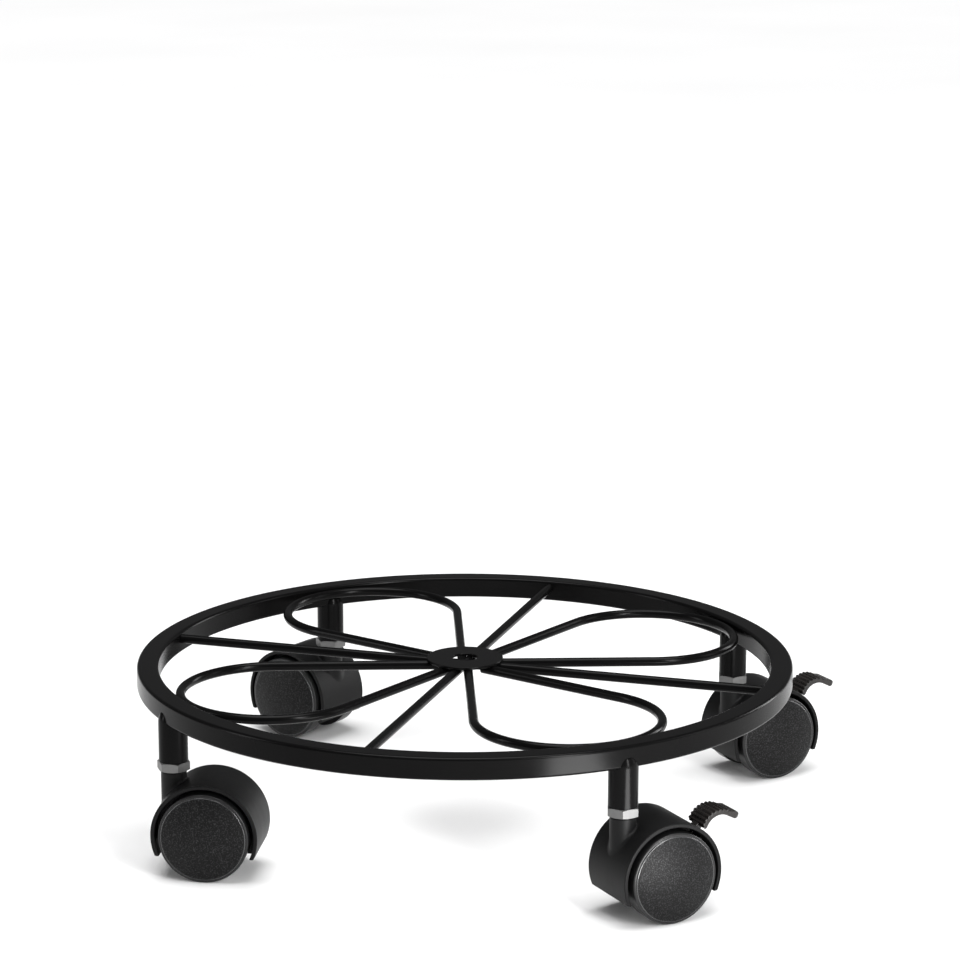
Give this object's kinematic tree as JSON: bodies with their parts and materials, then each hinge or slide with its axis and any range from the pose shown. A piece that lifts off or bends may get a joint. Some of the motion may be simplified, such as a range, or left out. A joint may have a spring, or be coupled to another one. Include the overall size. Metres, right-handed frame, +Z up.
{
  "type": "plant pot caddy",
  "caption": "Round rolling plant pot caddy: a square-tube steel ring with wire spokes and petal loops on swivel twin-wheel casters, some with brake levers.",
  "frame": {"origin": "on the floor, under the middle of the ring", "axes": "+Z up; the wire spokes run along X and Y; the casters are on the diagonals; the front is -Y"},
  "size_m": [0.3, 0.3, 0.0782],
  "materials": {
    "black_powder_coat": "satin",
    "zinc_plate": "bright zinc plating",
    "spring_steel": "oiled spring steel",
    "housing_plastic": "matt black moulding",
    "wheel_plastic": "matt black nylon",
    "face_plastic": "grained black",
    "lever_plastic": "matt warm black"
  },
  "bodies": {
    "platform": {"outer_ring": "black_powder_coat", "hub_disc": "black_powder_coat", "spoke_through": "black_powder_coat", "spoke_front": "black_powder_coat", "spoke_rear": "black_powder_coat", "petal_front_left": "black_powder_coat", "petal_front_right": "black_powder_coat", "petal_rear_left": "black_powder_coat", "petal_rear_right": "black_powder_coat", "sleeve_front_left": "black_powder_coat", "sleeve_front_right": "black_powder_coat", "sleeve_rear_left": "black_powder_coat", "sleeve_rear_right": "black_powder_coat", "stem_front_left": "zinc_plate", "stem_front_right": "zinc_plate", "stem_rear_left": "zinc_plate", "stem_rear_right": "zinc_plate", "lock_nuts": "zinc_plate", "stem_clips": "spring_steel"},
    "caster_front_left": {"housing_front_left": "housing_plastic", "axle_front_left": "zinc_plate", "axle_washers_front_left": "spring_steel"},
    "wheel_front_left_left_body": {"wheel_front_left_left": "wheel_plastic", "wheel_cap_front_left_left": "face_plastic"},
    "wheel_front_left_right_body": {"wheel_front_left_right": "wheel_plastic", "wheel_cap_front_left_right": "face_plastic"},
    "caster_front_right": {"housing_front_right": "housing_plastic", "axle_front_right": "zinc_plate", "axle_washers_front_right": "spring_steel", "lever_pin_front_right": "zinc_plate"},
    "wheel_front_right_left_body": {"wheel_front_right_left": "wheel_plastic", "wheel_cap_front_right_left": "face_plastic"},
    "wheel_front_right_right_body": {"wheel_front_right_right": "wheel_plastic", "wheel_cap_front_right_right": "face_plastic"},
    "lever_front_right": {"brake_lever_front_right": "lever_plastic"},
    "caster_rear_left": {"housing_rear_left": "housing_plastic", "axle_rear_left": "zinc_plate", "axle_washers_rear_left": "spring_steel"},
    "wheel_rear_left_left_body": {"wheel_rear_left_left": "wheel_plastic", "wheel_cap_rear_left_left": "face_plastic"},
    "wheel_rear_left_right_body": {"wheel_rear_left_right": "wheel_plastic", "wheel_cap_rear_left_right": "face_plastic"},
    "caster_rear_right": {"housing_rear_right": "housing_plastic", "axle_rear_right": "zinc_plate", "axle_washers_rear_right": "spring_steel", "lever_pin_rear_right": "zinc_plate"},
    "wheel_rear_right_left_body": {"wheel_rear_right_left": "wheel_plastic", "wheel_cap_rear_right_left": "face_plastic"},
    "wheel_rear_right_right_body": {"wheel_rear_right_right": "wheel_plastic", "wheel_cap_rear_right_right": "face_plastic"},
    "lever_rear_right": {"brake_lever_rear_right": "lever_plastic"}
  },
  "joints": [
    {"name": "swivel_front_left", "type": "hinge", "parent": "platform", "child": "caster_front_left", "pos_m": [-0.10253, -0.10253, 0.0202], "axis": [0, 0, 1], "continuous": true},
    {"name": "spin_front_left_left", "type": "hinge", "parent": "caster_front_left", "child": "wheel_front_left_left_body", "pos_m": [-0.08668, -0.09971, 0.0202], "axis": [-0.1754, 0.9845, 0], "continuous": true},
    {"name": "spin_front_left_right", "type": "hinge", "parent": "caster_front_left", "child": "wheel_front_left_right_body", "pos_m": [-0.08668, -0.09971, 0.0202], "axis": [-0.1754, 0.9845, 0], "continuous": true},
    {"name": "swivel_front_right", "type": "hinge", "parent": "platform", "child": "caster_front_right", "pos_m": [0.10253, -0.10253, 0.0202], "axis": [0, 0, 1], "continuous": true},
    {"name": "spin_front_right_left", "type": "hinge", "parent": "caster_front_right", "child": "wheel_front_right_left_body", "pos_m": [0.11396, -0.09119, 0.0202], "axis": [-0.7046, 0.7096, 0], "continuous": true},
    {"name": "spin_front_right_right", "type": "hinge", "parent": "caster_front_right", "child": "wheel_front_right_right_body", "pos_m": [0.11396, -0.09119, 0.0202], "axis": [-0.7046, 0.7096, 0], "continuous": true},
    {"name": "brake_front_right", "type": "hinge", "parent": "caster_front_right", "child": "lever_front_right", "pos_m": [0.12488, -0.08034, 0.0306], "axis": [-0.7046, 0.7096, 0], "range_deg": [0, 15]},
    {"name": "swivel_rear_left", "type": "hinge", "parent": "platform", "child": "caster_rear_left", "pos_m": [-0.10253, 0.10253, 0.0202], "axis": [0, 0, 1], "continuous": true},
    {"name": "spin_rear_left_left", "type": "hinge", "parent": "caster_rear_left", "child": "wheel_rear_left_left_body", "pos_m": [-0.1177, 0.10793, 0.0202], "axis": [-0.3355, -0.9421, 0], "continuous": true},
    {"name": "spin_rear_left_right", "type": "hinge", "parent": "caster_rear_left", "child": "wheel_rear_left_right_body", "pos_m": [-0.1177, 0.10793, 0.0202], "axis": [-0.3355, -0.9421, 0], "continuous": true},
    {"name": "swivel_rear_right", "type": "hinge", "parent": "platform", "child": "caster_rear_right", "pos_m": [0.10253, 0.10253, 0.0202], "axis": [0, 0, 1], "continuous": true},
    {"name": "spin_rear_right_left", "type": "hinge", "parent": "caster_rear_right", "child": "wheel_rear_right_left_body", "pos_m": [0.11392, 0.11392, 0.0202], "axis": [-0.7071, 0.7071, 0], "continuous": true},
    {"name": "spin_rear_right_right", "type": "hinge", "parent": "caster_rear_right", "child": "wheel_rear_right_right_body", "pos_m": [0.11392, 0.11392, 0.0202], "axis": [-0.7071, 0.7071, 0], "continuous": true},
    {"name": "brake_rear_right", "type": "hinge", "parent": "caster_rear_right", "child": "lever_rear_right", "pos_m": [0.1248, 0.1248, 0.0306], "axis": [-0.7071, 0.7071, 0], "range_deg": [0, 15]}
  ]
}
